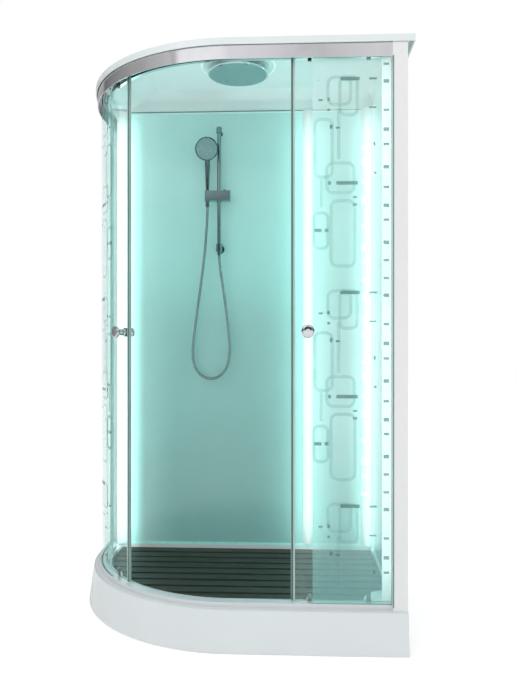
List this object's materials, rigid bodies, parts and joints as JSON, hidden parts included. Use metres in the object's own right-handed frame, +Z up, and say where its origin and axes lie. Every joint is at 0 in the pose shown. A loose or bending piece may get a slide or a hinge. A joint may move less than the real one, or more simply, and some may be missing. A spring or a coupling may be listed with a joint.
{
  "type": "shower cabin",
  "caption": "Closed shower cabin with a rounded front corner, sliding glass doors, lit wall columns, slatted deck, domed roof with a rain head, and a hand shower on a slide rail.",
  "frame": {"origin": "on the floor under the foot at the middle of the plan", "axes": "+Z up, +X to the right along the back wall, +Y from the doors to the back wall"},
  "size_m": [1.25, 0.826, 2.1866],
  "materials": {
    "tray_acrylic": "gloss white",
    "galvanised": "galvanised",
    "zinc": "zinc plated",
    "pad_rubber": "black",
    "deck_plastic": "dark grey, fine grain",
    "trap_plastic": "white",
    "steel_polished": "polished",
    "rail_aluminium": "satin silver",
    "head_aluminium": "polished",
    "post_white": "white powder coat",
    "clear_glass": "clear, toughened",
    "hazy_glass": "toughened, with a fine line pattern",
    "seal_clear": "translucent",
    "wall_panel": "gloss, pale sea green",
    "light_cover": "white, lit from inside",
    "light_profile": "satin",
    "roof_acrylic": "gloss white",
    "chrome_metal": "chrome plated brass",
    "chrome_plastic": "chrome plated plastic",
    "spray_grey": "grey, soft nozzles",
    "pipe_plastic": "white",
    "driver_plastic": "dark grey",
    "hose_metal": "wound metal sleeve",
    "gasket_black": "black",
    "roller_nylon": "white nylon",
    "button_black": "black"
  },
  "bodies": {
    "cabin": {"tray_shell": "tray_acrylic", "tray_apron": "tray_acrylic", "underframe": "galvanised", "foot_studs": "zinc", "foot_pads": "pad_rubber", "deck_slats": "deck_plastic", "deck_bearers": "deck_plastic", "waste_body": "trap_plastic", "waste_cover": "steel_polished", "waste_outlet": "trap_plastic", "bottom_rail": "rail_aluminium", "top_rail": "head_aluminium", "left_post": "post_white", "right_post": "post_white", "left_fixed_glass": "clear_glass", "right_fixed_glass": "hazy_glass", "glass_gaskets": "seal_clear", "back_wall_main": "wall_panel", "back_wall_side": "wall_panel", "right_wall": "wall_panel", "led_profiles": "light_profile", "led_diffusers": "light_cover", "wall_foot_trim": "tray_acrylic", "roof_shell": "roof_acrylic", "rain_head_body": "chrome_metal", "rain_head_face": "spray_grey", "rain_feed_pipe": "pipe_plastic", "led_driver": "driver_plastic", "slide_rail": "chrome_metal", "rail_top_bracket": "chrome_plastic", "hose_outlet": "chrome_metal", "hand_feed_pipe": "pipe_plastic", "mixer_body": "chrome_metal", "shower_hose": "hose_metal"},
    "slider": {"slider_block": "chrome_plastic", "handset_body": "chrome_plastic", "handset_face": "spray_grey"},
    "button": {"slider_button": "button_black"},
    "lever": {"mixer_lever": "chrome_metal"},
    "diverter": {"diverter_knob": "chrome_metal"},
    "left_door": {"left_door_glass": "clear_glass", "left_door_seal": "seal_clear", "left_fin_seal": "seal_clear", "left_knobs": "chrome_metal", "left_knob_gaskets": "gasket_black", "left_roller_carriers": "zinc"},
    "left_roller_low_front": {"left_roller_low_front": "roller_nylon"},
    "left_roller_low_rear": {"left_roller_low_rear": "roller_nylon"},
    "left_roller_top_front": {"left_roller_top_front": "roller_nylon"},
    "left_roller_top_rear": {"left_roller_top_rear": "roller_nylon"},
    "right_door": {"right_door_glass": "clear_glass", "right_door_seal": "seal_clear", "right_fin_seal": "seal_clear", "right_knobs": "chrome_metal", "right_knob_gaskets": "gasket_black", "right_roller_carriers": "zinc"},
    "right_roller_low_front": {"right_roller_low_front": "roller_nylon"},
    "right_roller_low_rear": {"right_roller_low_rear": "roller_nylon"},
    "right_roller_top_front": {"right_roller_top_front": "roller_nylon"},
    "right_roller_top_rear": {"right_roller_top_rear": "roller_nylon"}
  },
  "joints": [
    {"name": "left_door_turn", "type": "hinge", "parent": "cabin", "child": "left_door", "pos_m": [0, 0.2, 0], "axis": [0, 0, 1], "range_deg": [0, 37.5]},
    {"name": "right_door_slide", "type": "slide", "parent": "cabin", "child": "right_door", "axis": [-1, 0, 0], "range_m": [0, 0.2574]},
    {"name": "left_roller_low_front_spin", "type": "hinge", "parent": "left_door", "child": "left_roller_low_front", "pos_m": [-0.43138, -0.14055, 0.1608], "axis": [-0.7849, -0.6196, 0], "continuous": true},
    {"name": "right_roller_low_front_spin", "type": "hinge", "parent": "right_door", "child": "right_roller_low_front", "pos_m": [0.274, -0.3496, 0.1608], "axis": [0, 1, 0], "continuous": true},
    {"name": "left_roller_low_rear_spin", "type": "hinge", "parent": "left_door", "child": "left_roller_low_rear", "pos_m": [-0.52327, 0.03192, 0.1608], "axis": [-0.9521, -0.3058, 0], "continuous": true},
    {"name": "right_roller_low_rear_spin", "type": "hinge", "parent": "right_door", "child": "right_roller_low_rear", "pos_m": [0.474, -0.3496, 0.1608], "axis": [0, 1, 0], "continuous": true},
    {"name": "left_roller_top_front_spin", "type": "hinge", "parent": "left_door", "child": "left_roller_top_front", "pos_m": [-0.43138, -0.14055, 2.0233], "axis": [-0.7849, -0.6196, 0], "continuous": true},
    {"name": "right_roller_top_front_spin", "type": "hinge", "parent": "right_door", "child": "right_roller_top_front", "pos_m": [0.274, -0.3496, 2.0233], "axis": [0, 1, 0], "continuous": true},
    {"name": "left_roller_top_rear_spin", "type": "hinge", "parent": "left_door", "child": "left_roller_top_rear", "pos_m": [-0.52327, 0.03192, 2.0233], "axis": [-0.9521, -0.3058, 0], "continuous": true},
    {"name": "right_roller_top_rear_spin", "type": "hinge", "parent": "right_door", "child": "right_roller_top_rear", "pos_m": [0.474, -0.3496, 2.0233], "axis": [0, 1, 0], "continuous": true},
    {"name": "slider_slide", "type": "slide", "parent": "cabin", "child": "slider", "axis": [0, 0, 1], "range_m": [-0.165, 0.18], "deforming": ["shower_hose"]},
    {"name": "button_press", "type": "slide", "parent": "slider", "child": "button", "axis": [0, 0, -1], "range_m": [0, 0.003], "stiffness_N_per_m": 500, "springref_m": -0.001},
    {"name": "lever_turn", "type": "hinge", "parent": "cabin", "child": "lever", "pos_m": [0.55, -0.262, 1.095], "axis": [1, 0, 0], "range_deg": [0, 80]},
    {"name": "diverter_turn", "type": "hinge", "parent": "cabin", "child": "diverter", "pos_m": [0.55, -0.262, 1.005], "axis": [1, 0, 0], "range_deg": [-45, 45]}
  ],
  "couplings": [
    {"joint": "left_roller_low_front_spin", "follows": "left_door_turn", "ratio": -52.343},
    {"joint": "right_roller_low_front_spin", "follows": "right_door_slide", "rad_per_m": -95.238},
    {"joint": "left_roller_low_rear_spin", "follows": "left_door_turn", "ratio": -52.343},
    {"joint": "right_roller_low_rear_spin", "follows": "right_door_slide", "rad_per_m": -95.238},
    {"joint": "left_roller_top_front_spin", "follows": "left_door_turn", "ratio": -45.8},
    {"joint": "right_roller_top_front_spin", "follows": "right_door_slide", "rad_per_m": -83.333},
    {"joint": "left_roller_top_rear_spin", "follows": "left_door_turn", "ratio": -45.8},
    {"joint": "right_roller_top_rear_spin", "follows": "right_door_slide", "rad_per_m": -83.333}
  ]
}
